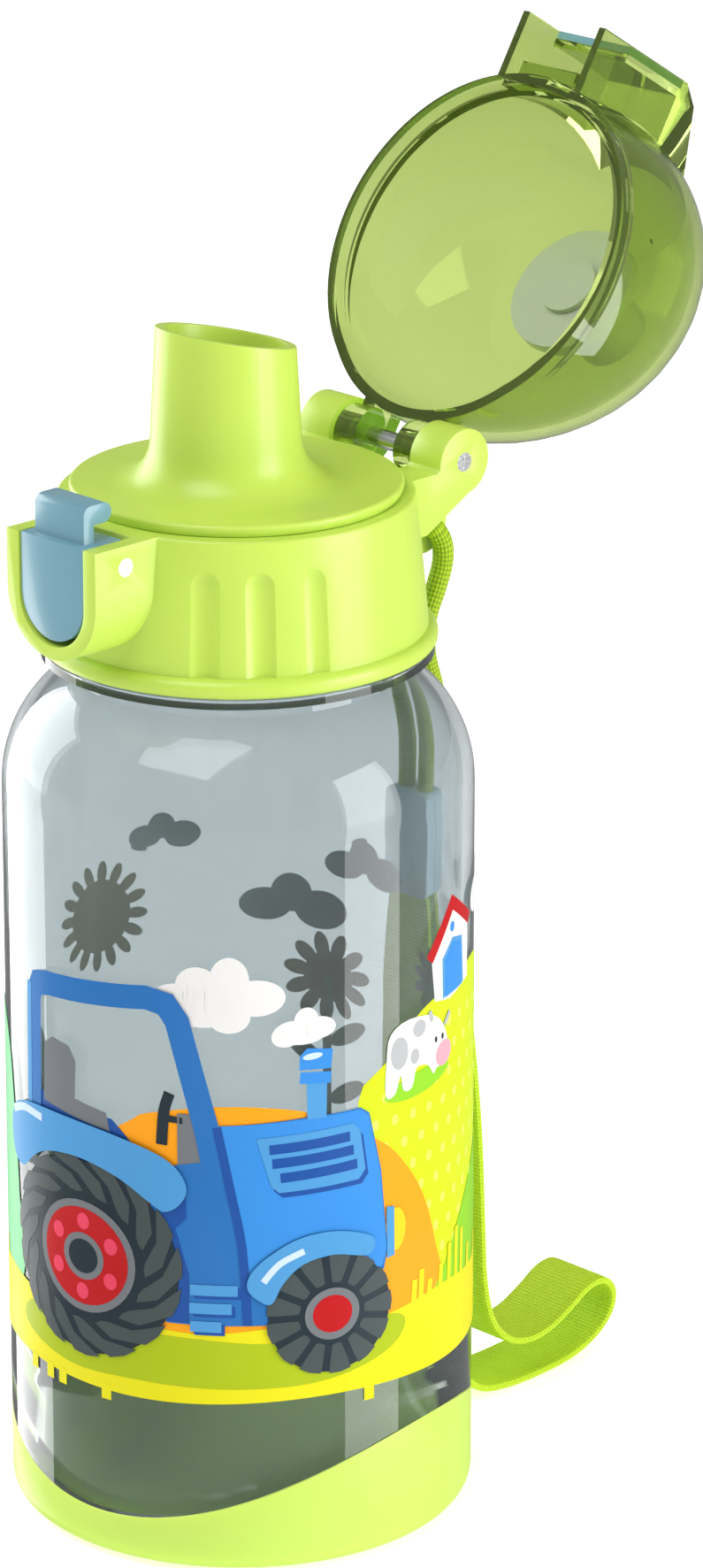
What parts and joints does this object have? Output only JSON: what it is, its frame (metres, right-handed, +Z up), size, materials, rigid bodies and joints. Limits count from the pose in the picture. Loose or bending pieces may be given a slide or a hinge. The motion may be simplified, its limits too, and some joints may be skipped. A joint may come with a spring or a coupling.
{
  "type": "drinking bottle",
  "caption": "Clear drinking bottle for children with a soft boot, a screw collar with a spout, a hinged clear lid with a push latch, and a carrying strap.",
  "frame": {"origin": "centre of the rest face under the boot", "axes": "+Z up along the bottle's axis, -Y towards the latch, +Y towards the lid's hinge, X along the hinge pin"},
  "size_m": [0.07, 0.1253, 0.2167],
  "materials": {
    "clear_plastic": "gloss",
    "lime_plastic": "satin",
    "tinted_plastic": "gloss",
    "blue_plastic": "gloss",
    "steel": "brushed",
    "silicone": "matte",
    "strap_fabric": "matte"
  },
  "bodies": {
    "vessel": {"bottle": "clear_plastic", "base_boot": "lime_plastic"},
    "seal": {"mouth_gasket": "silicone"},
    "cap": {"collar": "lime_plastic", "spout_plate": "lime_plastic", "latch_pin": "steel", "latch_spring": "steel", "hinge_pin": "steel", "lug_cord": "strap_fabric", "strap_clip_front": "blue_plastic", "strap_clip_back": "blue_plastic", "strap_webbing": "strap_fabric"},
    "cover": {"lid": "tinted_plastic", "lid_trim_plate": "blue_plastic", "spout_stopper": "silicone", "stopper_rivet": "silicone"},
    "latch": {"latch_button": "blue_plastic"}
  },
  "joints": [
    {"name": "collar_lift", "type": "slide", "parent": "vessel", "child": "seal", "axis": [0, 0, 1], "range_m": [0, 0.00601]},
    {"name": "collar_turn", "type": "hinge", "parent": "seal", "child": "cap", "pos_m": [0, 0, 0.1453], "axis": [0, 0, 1], "range_deg": [0, 540]},
    {"name": "lid_hinge", "type": "hinge", "parent": "cap", "child": "cover", "pos_m": [0, 0.032, 0.1584], "axis": [-1, 0, 0], "range_deg": [-122, 0]},
    {"name": "latch_push", "type": "hinge", "parent": "cap", "child": "latch", "pos_m": [0, -0.0306, 0.1545], "axis": [1, 0, 0], "range_deg": [0, 7], "stiffness_Nm_per_rad": 0.05, "springref_deg": -8.59, "deforming": ["latch_spring"]}
  ],
  "couplings": [
    {"joint": "collar_lift", "follows": "collar_turn", "m_per_rad": 0.00063662}
  ]
}
